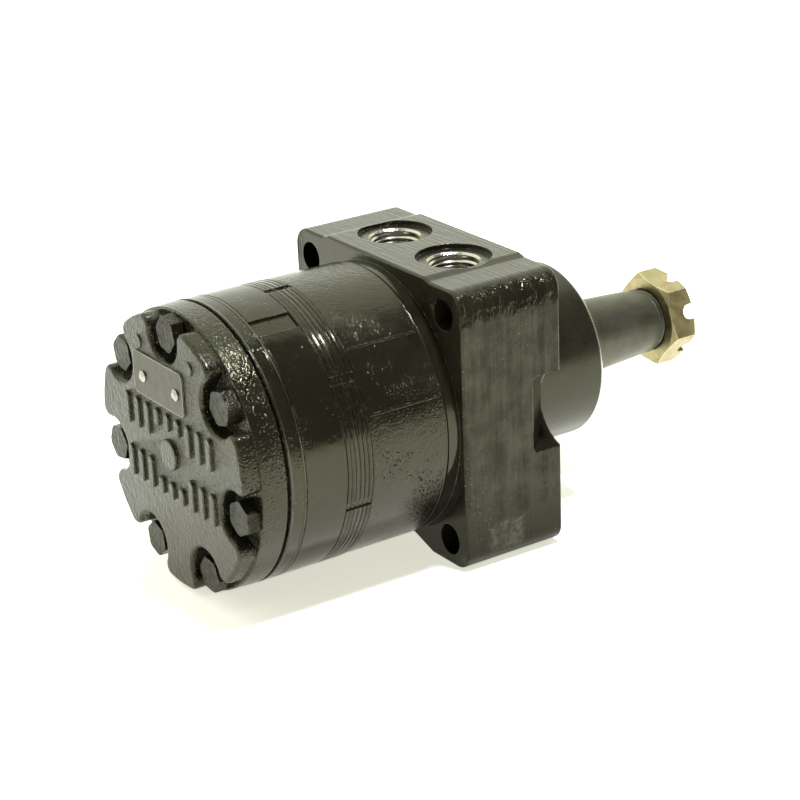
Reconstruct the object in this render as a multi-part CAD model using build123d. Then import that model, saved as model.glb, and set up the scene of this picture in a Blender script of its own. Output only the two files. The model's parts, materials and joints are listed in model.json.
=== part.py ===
from build123d import *
import math
import os

# Low-speed high-torque hydraulic motor with a rolling-element gerotor set, millimetres.
# Origin: centre of the pilot on the mounting face.  +X runs out along the shaft, +Z is the ported side.
# Angles in the cross-section are measured from +Y towards +Z.

# ---- Mounting interface ----
PILOT_R = 41.275
PILOT_FRONT_X = 43.8
PILOT_CHAMFER = 1.2
MOUNT_PCD = 147.64
MOUNT_HOLE_R = 7.0
MOUNT_HOLE_RUNOUT = 8.0
FLANGE_REAR_X = -52.3
FLANGE_HALF_W = 65.1
FLANGE_TOP_Z = 64.4
FLANGE_BOTTOM_Z = -64.1
TOP_CORNER_R = 8.8
BOTTOM_CORNER_R = 8.0
FLANGE_EDGE_R = 1.2

# ---- Port face ----
PORT_PAD_Z = 65.65
PORT_PAD_HALF_Y = 37.6
PORT_PAD_SLOPE = 4.0
PORT_X = -25.4
PORT_Y = 22.8
SPOTFACE_R = 17.05
SPOTFACE_DEPTH = 2.2
PORT_SEAT_R = 12.0
PORT_SEAT_DEPTH = 0.9
PORT_BORE_R = 11.1
PORT_DEPTH = 19.0
PORT_DRILL_R = 6.0
PORT_DRILL_Z = 36.0
GALLERY_R = 3.5
GALLERY_Y = 19.0
GALLERY_Z = 37.5

# ---- Relief cut in the flange sides and bottom ----
SIDE_RELIEF_DEPTH = 15.5
SIDE_RELIEF_TOP_Z = 18.4
SIDE_RELIEF_BOTTOM_Z = -21.0
SIDE_RELIEF_TOP_R = 3.0
SIDE_RELIEF_BOTTOM_R = 8.5
RELIEF_INNER_Y = 51.0
RELIEF_END_R = 19.5
RELIEF_END_CENTRE = (69.8, 1.6)
CUTTER = 200.0
SCALLOP_HALF_Y = 38.0
SCALLOP_DEPTH = 4.6

# ---- Round body: stations along X, from the housing to the rear cover ----
BODY_R = 63.04
CAST_R = 62.8
BAND_R = 62.1
BAND_REAR_X = -58.4
HOUSING_REAR_X = -97.5
PLATES_REAR_X = -110.18
STATOR_REAR_X = -130.15
COVER_JOINT_X = -138.35
POCKET_FLOOR_X = -151.3
COVER_FRONT_X = -159.3
PLATE_COUNT = 6
PLATE_EDGE = 0.4
BAND_EDGE = 0.3
BAND_STEP_L = 1.2
CAST_EDGE = 0.5
PASSAGE_R = 2.4
LAST_PASSAGE_R = 1.8
PASSAGE_CIRCLE_R = 24.0
PASSAGE_CIRCLE_STEP = 1.6
RIDGE_W = 1.0
RIDGE_H = 0.45
RIDGE_END_GAPS = (1.5, 3.0)
RIDGE_ANGLES = (45.6, 134.4, 161.3, 270.0)

# ---- Body bolts ----
BOLT_COUNT = 7
BOLT_CIRCLE_R = 53.7
BOLT_R = 4.76
BOLT_HOLE_R = 4.95
BOLT_END_X = -72.0
BOLT_HOLE_END_X = -68.0
BOLT_HEAD_AF = 14.29
BOLT_HEAD_H = 6.2
BOLT_HEAD_CHAMFER = 0.5
BOLT_FACE_R = 7.7
BOLT_TURNS = (12, -14, 33, 5, 21, -8, 16)
PITCH_ANGLE = 360 / BOLT_COUNT
FIRST_BOLT_ANGLE = 90

# ---- Gerotor set ----
ROLL_CIRCLE_R = 39.0
ROLL_R = 6.0
ECCENTRICITY = 3.2
LOBES = 6
STATOR_BORE_R = 39.9
RUN = 0.04
SIDE_RUN = 0.03
OUTLINE_STEPS = 96
ROTOR_SLOT_R = 1.6
ROTOR_SLOT_DEPTH = 2.0
ROTOR_SLOT_RADIUS = 24.0

# ---- Drive link and its splines ----
LINK_FRONT_X = -55.0
LINK_HEAD_HALF = 7.0
LINK_SHANK_R = 10.2
LINK_NOSE = 1.5
LINK_NOSE_R = 8.0
LINK_TAIL = 0.5
LINK_TAIL_R = 9.0
LINK_NECK_L = 2.0
LINK_ROOT_INSET = 2.0
LINK_CROWN = 1.0
SPLINE_TEETH = 12
SPLINE_ROOT_R = 13.3
SPLINE_TIP_R = 16.3
SPLINE_ROOT_HALF_W = 2.0
SPLINE_TIP_HALF_W = 1.1
SPLINE_PLAY = 0.7
SPACER_R = 13.2
SPACER_T = 2.0
PLATE_BORE_R = 20.0

# ---- Shaft ----
BARREL_R = 26.0
BARREL_REAR_X = -90.0
BARREL_FRONT_X = -22.0
SOCKET_END_X = -45.0
SOCKET_BORE_R = 18.0
SOCKET_SPLINE_REAR_X = -64.0
JOURNAL_R = 22.0
JOURNAL_FRONT_X = 13.0
SEAL_LAND_R = 19.05
TAPER_START_X = 42.5
TAPER_END_X = 99.6
TAPER_PER_MM = 1 / 16
TAPER_CHAMFER = 0.6
THREAD_R = 14.2
THREAD_CHAMFER = 1.2
NECK_R = 13.0
NECK_END_X = 101.6
SHAFT_END_X = 113.6
COTTER_R = 2.2
COTTER_X = 108.4
KEY_W = 9.5
KEY_LENGTH = 30.0
KEY_CENTRE_X = 72.0
KEY_SEAT_Y = 13.0

# ---- Slotted nut ----
NUT_AF = 39.7
NUT_REAR_X = 102.6
NUT_FRONT_X = 116.6
NUT_TURN = 161.6
NUT_CHAMFER_ANGLE = 30
NUT_BORE_R = 14.23
NUT_FACE_R = 15.4
SLOT_W = 7.2
SLOT_BOTTOM_X = 110.6

# ---- Bearings, housing bores and seals ----
FIT = 0.03
FRONT_BEARING = {"rear_x": -13.9, "front_x": 11.9, "inner_r": JOURNAL_R, "outer_r": 28.0,
                 "race_r": 32.0, "count": 20}
REAR_BEARING = {"rear_x": -86.0, "front_x": -58.0, "inner_r": BARREL_R, "outer_r": 32.5,
                "race_r": 36.0, "count": 24}
ROLLER_INSET = 3.0
CAGE_INSET = 1.0
CAGE_HALF_T = 1.1
NEEDLE_END_GAP = 1.5
CAGE_PLAY = 0.12
THRUST_WASHER_T = 2.5
THRUST_GAP = 3.0
THRUST_CAGE_T = 1.8
FRONT_THRUST_INNER_R = 22.4
FRONT_THRUST_OUTER_R = 33.5
FRONT_THRUST_COUNT = 28
REAR_THRUST_INNER_R = 19.5
REAR_THRUST_OUTER_R = 29.0
REAR_THRUST_COUNT = 24
REAR_WASHER_T = 2.2
THRUST_BORE_R = 34.5
THRUST_BORE_FRONT_X = -14.0
REAR_BORE_FRONT_X = -57.0
FRONT_BORE_FRONT_X = 12.2
SEAL_BORE_R = 29.0
SEAL_BORE_FRONT_X = 27.0
SEAL_REAR_X = 15.0
SEAL_T = 8.0
BACKUP_T = 2.0
BACKUP_INNER_R = 19.3
SNAP_T = 1.6
SNAP_OUTER_R = 30.6
SNAP_INNER_R = 25.5
NOSE_BORE_R = 25.0
DUST_SEAL_T = 6.0
DUST_SEAL_INSET = 0.4
DUST_LIP_R = 19.15
DUST_LIP_EDGE_T = 0.7
DUST_LIP_RUNOUT = 2.0
LIP_T = 1.2
SHELL_T = 1.5
BODY_SEAL_INNER_R = 46.35
BODY_SEAL_OUTER_R = 48.05
BODY_SEAL_DEPTH = 1.2

# ---- Rear cover front ----
COVER_DRAFT = 1.6
POCKET_R = 12.0
POCKET_MOUTH_R = 5.0
COVER_EDGE_R = 2.0
JOINT_EDGE_R = 0.8
JOINT_GROOVE_W = 1.2
JOINT_GROOVE_DEPTH = 1.8
DISC_R = 7.0
DISC_H = 1.5
RIB_H = 1.3
RIB_W = 4.4
RIB_LENGTH = 15.0
RIB_PITCH = 8.8
RIB_ROWS_Z = (11.5, -13.5)
RIB_HALF_COUNT = 4
SHORT_RIB = 0.55
SHORT_RIB_SHIFT = 0.22
TOP_ROUNDING = 0.6
MARK_R = 3.2
MARK_RADIUS = 50.2
MARK_H = 0.6
PLATE_W = 42.5
PLATE_H = 19.5
PLATE_T = 0.8
PLATE_CORNER_R = 2.5
PLATE_CENTRE = (5.2, 31.3)
SCREW_Y = (17.9, -10.4)
SCREW_Z = 30.6
SCREW_HEAD_R = 2.6
SCREW_HEAD_H = 1.4
SCREW_SHANK_R = 1.2
SCREW_SHANK_L = 4.0

# ---- Locating notches in the outer edges ----
NOTCH_DEPTH = 0.8
NOTCH_HALF_ANGLE = 1.7
PLATE_NOTCH_OFFSET = 3.6
STATOR_NOTCH_ANGLE = 114.9
STATOR_NOTCH_HALF_ANGLE = 4.3
STATOR_NOTCH_DEPTH = 1.3


def polar(radius, angle):
    """Cross-section point (y, z) at a radius and an angle in degrees."""
    return (radius * math.cos(math.radians(angle)), radius * math.sin(math.radians(angle)))


def section(x, sketch):
    """Places a sketch drawn in (y, z) at station x."""
    return Plane.YZ.offset(x) * sketch


def disc(x0, x1, radius, centre=(0, 0)):
    """Solid cylinder along X between two stations."""
    return extrude(section(x0, Pos(*centre) * Circle(radius)), amount=x1 - x0)


def ring(x0, x1, outer_r, inner_r):
    """Plain ring along X between two stations."""
    return extrude(section(x0, Circle(outer_r) - Circle(inner_r)), amount=x1 - x0)


def turned(*points):
    """Solid of revolution about the shaft axis from (x, radius) corners."""
    return revolve(make_face(Polyline(*points, close=True)), axis=Axis.X)


def bolt_angles():
    """Angles of the body bolts."""
    return [FIRST_BOLT_ANGLE + i * PITCH_ANGLE for i in range(BOLT_COUNT)]


def bolt_holes(x0, x1, radius=BOLT_HOLE_R):
    """The seven bolt holes between two stations."""
    return [disc(x0, x1, radius, polar(BOLT_CIRCLE_R, a)) for a in bolt_angles()]


def seal_groove(x_face, direction):
    """Face groove for a body seal, cut from a face into the solid on its +X (1) or -X (-1) side."""
    x0, x1 = sorted((x_face, x_face + direction * BODY_SEAL_DEPTH))
    return ring(x0, x1, BODY_SEAL_OUTER_R, BODY_SEAL_INNER_R)


def body_seal(x_face, direction):
    """Rubber ring that fills a face groove."""
    x0, x1 = sorted((x_face, x_face + direction * (BODY_SEAL_DEPTH - FIT)))
    return ring(x0, x1, BODY_SEAL_OUTER_R - FIT, BODY_SEAL_INNER_R + FIT)


def edge_notch(x0, x1, angle, half_angle, depth):
    """Shallow notch in the outer edge of a round plate."""
    width = 2 * BODY_R * math.sin(math.radians(half_angle))
    cutter = Pos(BODY_R, 0) * Rectangle(2 * depth, width)
    return extrude(section(x0, Rot(0, 0, angle) * cutter), amount=x1 - x0)


def spline_outline(play):
    """Toothed outline of the drive spline, grown by play for the socket that it runs in."""
    corners = []
    root_r = SPLINE_ROOT_R + play
    tip_r = SPLINE_TIP_R + play
    root_half = math.degrees((SPLINE_ROOT_HALF_W + play) / root_r)
    tip_half = math.degrees((SPLINE_TIP_HALF_W + play) / tip_r)
    for i in range(SPLINE_TEETH):
        a = i * 360 / SPLINE_TEETH
        corners += [polar(root_r, a - root_half), polar(tip_r, a - tip_half)]
        corners += [polar(tip_r, a + tip_half), polar(root_r, a + root_half)]
    return Polygon(*corners, align=None)


def rotor_outline():
    """Six-lobed outline: the path of the roll centres in the rotor's frame, set in by the roll radius."""
    points = []
    for i in range(OUTLINE_STEPS):
        t = 2 * math.pi * i / OUTLINE_STEPS
        turn = (LOBES + 1) * t
        y = ROLL_CIRCLE_R * math.cos(t) - ECCENTRICITY * math.cos(turn)
        z = ROLL_CIRCLE_R * math.sin(t) - ECCENTRICITY * math.sin(turn)
        dy = -ROLL_CIRCLE_R * math.sin(t) + ECCENTRICITY * (LOBES + 1) * math.sin(turn)
        dz = ROLL_CIRCLE_R * math.cos(t) - ECCENTRICITY * (LOBES + 1) * math.cos(turn)
        inset = (ROLL_R + RUN) / math.hypot(dy, dz)
        points.append((y - inset * dz, z + inset * dy))
    return make_face(Spline(*points, periodic=True))


def flange_outline():
    """Square flange seen along the shaft, with the raised port pad and the scalloped bottom."""
    w, top, bottom = FLANGE_HALF_W, FLANGE_TOP_Z, FLANGE_BOTTOM_Z
    pad, slope, lift = PORT_PAD_HALF_Y, PORT_PAD_SLOPE, PORT_PAD_Z
    right = [(0, lift), (pad, lift), (pad + slope, top), (w, top), (w, bottom), (SCALLOP_HALF_Y, bottom)]
    right += [(SCALLOP_HALF_Y - 3 * SCALLOP_DEPTH, bottom + SCALLOP_DEPTH)]
    left = [(-y, z) for y, z in reversed(right)]
    outline = make_face(Polyline(*(right + left[:-1]), close=True))
    tops = [v for v in outline.vertices() if abs(v.X) > w - 1 and v.Y > 0]
    outline = fillet(tops, TOP_CORNER_R)
    bottoms = [v for v in outline.vertices() if abs(v.X) > w - 1 and v.Y < bottom + 1]
    outline = fillet(bottoms, BOTTOM_CORNER_R)
    low = [v for v in outline.vertices() if abs(v.X) < SCALLOP_HALF_Y + 1 and v.Y < 0]
    outline = fillet(low, SCALLOP_DEPTH)
    high = [v for v in outline.vertices() if 1 < abs(v.X) < pad + slope + 1 and v.Y > top - 1]
    return fillet(high, PORT_PAD_SLOPE)


def outside_of(point, normal):
    """Large block on the outer side of a plane through a point."""
    block = Box(CUTTER, CUTTER, CUTTER, align=(Align.CENTER, Align.CENTER, Align.MIN))
    return Plane(origin=point, z_dir=normal) * block


def side_relief(side):
    """Pocket in a flange side: round towards the pilot, its floor sloping up to the mounting face."""
    depth = SIDE_RELIEF_DEPTH
    wall = Polyline((1, SIDE_RELIEF_TOP_Z), (-depth, SIDE_RELIEF_TOP_Z), (-depth, SIDE_RELIEF_BOTTOM_Z),
                    (1, SIDE_RELIEF_BOTTOM_Z), close=True)
    face = make_face(wall)
    upper = [v for v in face.vertices() if v.X < 0 and v.Y > 0]
    face = fillet(upper, SIDE_RELIEF_TOP_R)
    lower = [v for v in face.vertices() if v.X < 1 - depth and v.Y < 0]
    face = fillet(lower, SIDE_RELIEF_BOTTOM_R)
    block = extrude(Plane.XZ * face, amount=-FLANGE_HALF_W - 1)
    block &= outside_of((0, RELIEF_INNER_Y, 0), (FLANGE_HALF_W - RELIEF_INNER_Y, depth, 0))
    block &= disc(-depth - 1, 2, RELIEF_END_R, RELIEF_END_CENTRE)
    return block if side > 0 else mirror(block, about=Plane.XZ)


def port_cut(side):
    """Spotface, seal seat, threaded bore and drilling of one port."""
    cut = Pos(PORT_X, side * PORT_Y, PORT_PAD_Z - SPOTFACE_DEPTH) * Cylinder(
        SPOTFACE_R, 2 * SPOTFACE_DEPTH, align=(Align.CENTER, Align.CENTER, Align.MIN))
    top = PORT_PAD_Z - SPOTFACE_DEPTH
    seat = Pos(PORT_X, side * PORT_Y, top - PORT_SEAT_DEPTH / 2) * Cone(
        PORT_BORE_R, PORT_SEAT_R, PORT_SEAT_DEPTH)
    bore = Pos(PORT_X, side * PORT_Y, top - PORT_DEPTH / 2) * Cylinder(PORT_BORE_R, PORT_DEPTH)
    drill_length = top - PORT_DRILL_Z
    drill = Pos(PORT_X, side * PORT_Y, top - drill_length / 2) * Cylinder(PORT_DRILL_R, drill_length)
    gallery = disc(HOUSING_REAR_X, PORT_X, GALLERY_R, (side * GALLERY_Y, GALLERY_Z))
    return [cut, seat, bore, drill, gallery]


def make_housing():
    """Cast housing: square flange, round body, pilot and all internal bores."""
    flange = extrude(section(FLANGE_REAR_X, flange_outline()), amount=-FLANGE_REAR_X)
    rims = [e for e in flange.edges() if e.center().X > -0.1 or e.center().X < FLANGE_REAR_X + 0.1]
    flange = fillet(rims, FLANGE_EDGE_R)
    for side in (1, -1):
        flange -= side_relief(side)
    body = turned((HOUSING_REAR_X, 0), (HOUSING_REAR_X, CAST_R - CAST_EDGE),
                  (HOUSING_REAR_X + CAST_EDGE, CAST_R), (BAND_REAR_X - BAND_STEP_L, CAST_R),
                  (BAND_REAR_X, BAND_R), (FLANGE_REAR_X + 1, BAND_R), (FLANGE_REAR_X + 1, 0))
    pilot = turned((-FLANGE_EDGE_R, 0), (-FLANGE_EDGE_R, PILOT_R), (PILOT_FRONT_X - PILOT_CHAMFER, PILOT_R),
                   (PILOT_FRONT_X, PILOT_R - PILOT_CHAMFER), (PILOT_FRONT_X, 0))
    solid = flange + body + pilot
    ridge_x0, ridge_x1 = HOUSING_REAR_X + RIDGE_END_GAPS[0], BAND_REAR_X - RIDGE_END_GAPS[1]
    for angle in RIDGE_ANGLES:
        bar = Pos(CAST_R, 0) * Rectangle(2 * RIDGE_H, RIDGE_W)
        solid += extrude(section(ridge_x0, Rot(0, 0, angle) * bar), amount=ridge_x1 - ridge_x0)
    cuts = [disc(HOUSING_REAR_X, REAR_BORE_FRONT_X, REAR_BEARING["race_r"]),
            disc(REAR_BORE_FRONT_X - 1, THRUST_BORE_FRONT_X, THRUST_BORE_R),
            disc(THRUST_BORE_FRONT_X - 1, FRONT_BORE_FRONT_X, FRONT_BEARING["race_r"]),
            disc(FRONT_BORE_FRONT_X - 1, SEAL_BORE_FRONT_X, SEAL_BORE_R),
            disc(SEAL_BORE_FRONT_X - 1, PILOT_FRONT_X, NOSE_BORE_R),
            disc(snap_x(), snap_x() + SNAP_T + FIT, SNAP_OUTER_R + FIT),
            seal_groove(HOUSING_REAR_X, 1)]
    cuts += bolt_holes(HOUSING_REAR_X, BOLT_HOLE_END_X)
    for side in (1, -1):
        cuts += port_cut(side)
        for height in (1, -1):
            offset = MOUNT_PCD / 2 / math.sqrt(2)
            centre = (side * offset, height * offset)
            cuts.append(disc(FLANGE_REAR_X - MOUNT_HOLE_RUNOUT, 1, MOUNT_HOLE_R, centre))
    for cut in cuts:
        solid -= cut
    return solid


def plate_stations(index):
    """Rear and front station of manifold plate 1 (next to the housing) to PLATE_COUNT."""
    thickness = (HOUSING_REAR_X - PLATES_REAR_X) / PLATE_COUNT
    front = HOUSING_REAR_X - (index - 1) * thickness
    return front - thickness, front


def make_manifold_plate(index):
    """Thin steel plate of the manifold, with its own ring of oil passages."""
    x0, x1 = plate_stations(index)
    plate = turned((x0, PLATE_BORE_R), (x0, BODY_R - PLATE_EDGE), (x0 + PLATE_EDGE, BODY_R),
                   (x1 - PLATE_EDGE, BODY_R), (x1, BODY_R - PLATE_EDGE), (x1, PLATE_BORE_R))
    for hole in bolt_holes(x0, x1):
        plate -= hole
    for angle in bolt_angles():
        plate -= edge_notch(x0, x1, angle + PLATE_NOTCH_OFFSET, NOTCH_HALF_ANGLE, NOTCH_DEPTH)
    if index == 1:
        for side in (1, -1):
            plate -= disc(x0, x1, GALLERY_R, (side * GALLERY_Y, GALLERY_Z))
    else:
        passages = 2 * LOBES if index < PLATE_COUNT else BOLT_COUNT
        radius = PASSAGE_R if index < PLATE_COUNT else LAST_PASSAGE_R
        circle = PASSAGE_CIRCLE_R + PASSAGE_CIRCLE_STEP * index
        for i in range(passages):
            angle = FIRST_BOLT_ANGLE + (i + index / 4) * 360 / passages
            plate -= disc(x0, x1, radius, polar(circle, angle))
    if index == PLATE_COUNT:
        plate -= seal_groove(x0, 1)
    return plate


def roll_centres():
    """Centres of the seven rolls, half way between the bolts."""
    return [polar(ROLL_CIRCLE_R, a + PITCH_ANGLE / 2) for a in bolt_angles()]


def make_stator():
    """Hardened ring that holds the rolls in seven half-round pockets."""
    x0, x1 = STATOR_REAR_X, PLATES_REAR_X
    stator = turned((x0, STATOR_BORE_R), (x0, BODY_R - PLATE_EDGE), (x0 + PLATE_EDGE, BODY_R),
                    (x1 - PLATE_EDGE, BODY_R), (x1, BODY_R - PLATE_EDGE), (x1, STATOR_BORE_R))
    for centre in roll_centres():
        stator -= disc(x0, x1, ROLL_R + RUN, centre)
    for hole in bolt_holes(x0, x1):
        stator -= hole
    return stator - edge_notch(x0, x1, STATOR_NOTCH_ANGLE, STATOR_NOTCH_HALF_ANGLE, STATOR_NOTCH_DEPTH)


def make_roll(centre):
    """One hardened roll of the stator."""
    return disc(STATOR_REAR_X + SIDE_RUN, PLATES_REAR_X - SIDE_RUN, ROLL_R, centre)


def make_rotor():
    """Six-lobed rotor, set off the axis by the eccentricity, with a splined bore and six valve slots."""
    x0, x1 = STATOR_REAR_X + SIDE_RUN, PLATES_REAR_X - SIDE_RUN
    profile = rotor_outline() - spline_outline(SPLINE_PLAY)
    rotor = extrude(section(x0, Pos(0, ECCENTRICITY) * profile), amount=x1 - x0)
    for i in range(LOBES):
        y, z = polar(ROTOR_SLOT_RADIUS, (i + 0.5) * 360 / LOBES)
        rotor -= disc(x1 - ROTOR_SLOT_DEPTH, x1, ROTOR_SLOT_R, (y, z + ECCENTRICITY))
    return rotor


def rotor_mid_x():
    """Station of the rotor's middle plane."""
    return (STATOR_REAR_X + PLATES_REAR_X) / 2


def make_drive_link():
    """Splined link that joins the orbiting rotor to the shaft, tilted between its two heads."""
    front, rear = LINK_FRONT_X, rotor_mid_x()
    half, root_r = LINK_HEAD_HALF, SPLINE_ROOT_R - LINK_ROOT_INSET
    link = turned((rear - half - LINK_TAIL, 0), (rear - half - LINK_TAIL, LINK_TAIL_R), (rear - half, root_r),
                  (rear + half, root_r), (rear + half + LINK_NECK_L, LINK_SHANK_R),
                  (front - half - LINK_NECK_L, LINK_SHANK_R), (front - half, root_r),
                  (front + half, root_r), (front + half + LINK_NOSE, LINK_NOSE_R),
                  (front + half + LINK_NOSE, 0))
    for x in (front, rear):
        head = extrude(section(x - half, spline_outline(0)), amount=2 * half)
        end_r = SPLINE_TIP_R - LINK_CROWN
        crown = turned((x - half, 0), (x - half, end_r), (x - half / 2, SPLINE_TIP_R),
                       (x + half / 2, SPLINE_TIP_R), (x + half, end_r), (x + half, 0))
        link += head & crown
    tilt = math.degrees(math.atan2(ECCENTRICITY, front - rear))
    return Pos(front, 0, 0) * Rot(0, tilt, 0) * Pos(-front, 0, 0) * link


def make_drive_link_spacer():
    """Round wear button behind the drive link, in the rotor's bore."""
    x0 = STATOR_REAR_X + SIDE_RUN
    return disc(x0, x0 + SPACER_T, SPACER_R, (0, ECCENTRICITY))


def make_balance_plate():
    """Steel plate behind the rotor, seen from outside as the narrow band next to the rear cover."""
    x0, x1 = COVER_JOINT_X, STATOR_REAR_X
    plate = turned((x0, 0), (x0, BODY_R - BAND_EDGE), (x0 + BAND_EDGE, BODY_R), (x1 - PLATE_EDGE, BODY_R),
                   (x1, BODY_R - PLATE_EDGE), (x1, 0))
    for hole in bolt_holes(x0, x1):
        plate -= hole
    return plate - seal_groove(x1, -1) - seal_groove(x0, 1)


def cover_front_ribs():
    """Two rows of plain raised ribs on the rear cover, shortened beside the centre disc."""
    ribs = []
    x0 = COVER_FRONT_X - RIB_H
    for row_z in RIB_ROWS_Z:
        for i in range(-RIB_HALF_COUNT, RIB_HALF_COUNT + 1):
            near_centre = abs(i) <= 1
            length = RIB_LENGTH * (SHORT_RIB if near_centre else 1.0)
            shift = math.copysign(RIB_LENGTH * SHORT_RIB_SHIFT, row_z) if near_centre else 0
            bar = Pos(i * RIB_PITCH, row_z + shift) * SlotOverall(length, RIB_W, rotation=90)
            ribs.append(extrude(section(x0, bar), amount=RIB_H + 1))
    return ribs


def make_end_cover():
    """Cast rear cover: round base, star-shaped front with seven open bolt pockets, plain raised marks."""
    groove_x, groove_r = COVER_JOINT_X - JOINT_GROOVE_W, BODY_R - JOINT_GROOVE_DEPTH
    base = turned((COVER_JOINT_X, 0), (COVER_JOINT_X, groove_r), (groove_x, groove_r), (groove_x, BODY_R),
                  (POCKET_FLOOR_X, BODY_R - CAST_EDGE), (POCKET_FLOOR_X, 0))
    rims = base.edges().filter_by(GeomType.CIRCLE)
    joint_rim = [e for e in rims if e.radius > groove_r + 0.1 and e.center().X > groove_x - 0.1]
    floor_rim = [e for e in rims if e.center().X < POCKET_FLOOR_X + 0.1]
    base = fillet(joint_rim + floor_rim, JOINT_EDGE_R)
    outline = Circle(BODY_R - COVER_DRAFT)
    for angle in bolt_angles():
        pocket = Pos(BOLT_CIRCLE_R, 0) * Circle(POCKET_R)
        pocket += Pos(BOLT_CIRCLE_R + POCKET_R, 0) * Rectangle(2 * POCKET_R, 2 * POCKET_R)
        outline -= Rot(0, 0, angle) * pocket
    tips = [v for v in outline.vertices() if math.hypot(v.X, v.Y) > BODY_R - COVER_DRAFT - 0.1]
    outline = fillet(tips, POCKET_MOUTH_R)
    star = extrude(section(COVER_FRONT_X, outline), amount=POCKET_FLOOR_X - COVER_FRONT_X + 1)
    star_rim = [e for e in star.edges() if e.center().X < COVER_FRONT_X + 0.1]
    star = fillet(star_rim, COVER_EDGE_R)
    cover = base + star
    centre_disc = disc(COVER_FRONT_X - DISC_H, COVER_FRONT_X + 1, DISC_R)
    disc_rim = [e for e in centre_disc.edges() if e.center().X < COVER_FRONT_X - 0.5]
    cover += fillet(disc_rim, DISC_H * TOP_ROUNDING)
    for rib in cover_front_ribs():
        rim = [e for e in rib.edges() if e.center().X < COVER_FRONT_X - RIB_H + 0.1]
        cover += fillet(rim, RIB_H * TOP_ROUNDING)
    for angle in (FIRST_BOLT_ANGLE - PITCH_ANGLE / 2, FIRST_BOLT_ANGLE + PITCH_ANGLE / 2):
        mark = disc(COVER_FRONT_X - MARK_H, COVER_FRONT_X + 1, MARK_R, polar(MARK_RADIUS, angle))
        rim = [e for e in mark.edges() if e.center().X < COVER_FRONT_X - 0.1]
        cover += fillet(rim, MARK_H * TOP_ROUNDING)
    for hole in bolt_holes(POCKET_FLOOR_X - 1, COVER_JOINT_X):
        cover -= hole
    for y in SCREW_Y:
        cover -= disc(COVER_FRONT_X, COVER_FRONT_X + SCREW_SHANK_L + 1, SCREW_SHANK_R + FIT, (y, SCREW_Z))
    return cover


def make_cover_bolt(angle, turn):
    """One hexagon-head body bolt."""
    seat = POCKET_FLOOR_X
    hexagon = Rot(0, 0, turn) * RegularPolygon(BOLT_HEAD_AF / 2, 6, major_radius=False)
    head = extrude(section(seat - BOLT_HEAD_H, hexagon), amount=BOLT_HEAD_H)
    corner_r = BOLT_HEAD_AF / math.sqrt(3)
    crown = turned((seat, 0), (seat, corner_r), (seat - BOLT_HEAD_H + BOLT_HEAD_CHAMFER, corner_r),
                   (seat - BOLT_HEAD_H, BOLT_FACE_R), (seat - BOLT_HEAD_H, 0))
    shank = turned((seat, 0), (seat, BOLT_R), (BOLT_END_X - 1, BOLT_R), (BOLT_END_X, BOLT_R - 1),
                   (BOLT_END_X, 0))
    y, z = polar(BOLT_CIRCLE_R, angle)
    return Pos(0, y, z) * ((head & crown) + shank)


def make_nameplate():
    """Plain identification plate with rounded corners, lying on the cover's front."""
    plate = Pos(*PLATE_CENTRE) * RectangleRounded(PLATE_W, PLATE_H, PLATE_CORNER_R)
    for y in SCREW_Y:
        plate -= Pos(y, SCREW_Z) * Circle(SCREW_SHANK_R + FIT)
    return extrude(section(COVER_FRONT_X - PLATE_T, plate), amount=PLATE_T - FIT)


def make_nameplate_screw(y):
    """Round-head drive screw of the nameplate."""
    face = COVER_FRONT_X - PLATE_T
    head = turned((face, 0), (face, SCREW_HEAD_R), (face - SCREW_HEAD_H * 0.4, SCREW_HEAD_R),
                  (face - SCREW_HEAD_H, SCREW_HEAD_R * 0.5), (face - SCREW_HEAD_H, 0))
    shank = disc(face, face + SCREW_SHANK_L, SCREW_SHANK_R)
    return Pos(0, y, SCREW_Z) * (head + shank)


def taper_radius(x):
    """Radius of the tapered shaft end at station x."""
    return SEAL_LAND_R - TAPER_PER_MM * (x - TAPER_START_X)


def make_output_shaft():
    """Output shaft: splined barrel, journals, tapered end with a keyway and a threaded tip."""
    end_r = taper_radius(TAPER_END_X)
    shaft = turned((BARREL_REAR_X, SOCKET_BORE_R), (BARREL_REAR_X, BARREL_R), (BARREL_FRONT_X, BARREL_R),
                   (BARREL_FRONT_X, JOURNAL_R), (JOURNAL_FRONT_X, JOURNAL_R),
                   (JOURNAL_FRONT_X + 1, SEAL_LAND_R), (TAPER_START_X, SEAL_LAND_R),
                   (TAPER_END_X - TAPER_CHAMFER, end_r + TAPER_CHAMFER * TAPER_PER_MM),
                   (TAPER_END_X, end_r - TAPER_CHAMFER), (TAPER_END_X, NECK_R), (NECK_END_X, NECK_R),
                   (NECK_END_X + 1, THREAD_R), (SHAFT_END_X - THREAD_CHAMFER, THREAD_R),
                   (SHAFT_END_X, THREAD_R - THREAD_CHAMFER), (SHAFT_END_X, 0), (SOCKET_END_X, 0),
                   (SOCKET_END_X, SPLINE_ROOT_R - 1), (SOCKET_SPLINE_REAR_X, SPLINE_ROOT_R - 1),
                   (SOCKET_SPLINE_REAR_X, SOCKET_BORE_R))
    shaft -= extrude(section(SOCKET_SPLINE_REAR_X, spline_outline(SPLINE_PLAY)),
                     amount=SOCKET_END_X - SOCKET_SPLINE_REAR_X)
    shaft -= cotter_hole()
    slot = SlotOverall(KEY_LENGTH + 2 * FIT, KEY_W + 2 * FIT)
    keyway = Plane.XZ.offset(-KEY_SEAT_Y) * Pos(KEY_CENTRE_X, 0) * slot
    return shaft - extrude(keyway, amount=-SEAL_LAND_R)


def cotter_hole():
    """Cross hole for the cotter pin, in line with a pair of nut slots."""
    hole = Cylinder(COTTER_R, 3 * THREAD_R, rotation=(90, 0, 0))
    return Pos(COTTER_X, 0, 0) * Rot(NUT_TURN, 0, 0) * hole


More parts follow.
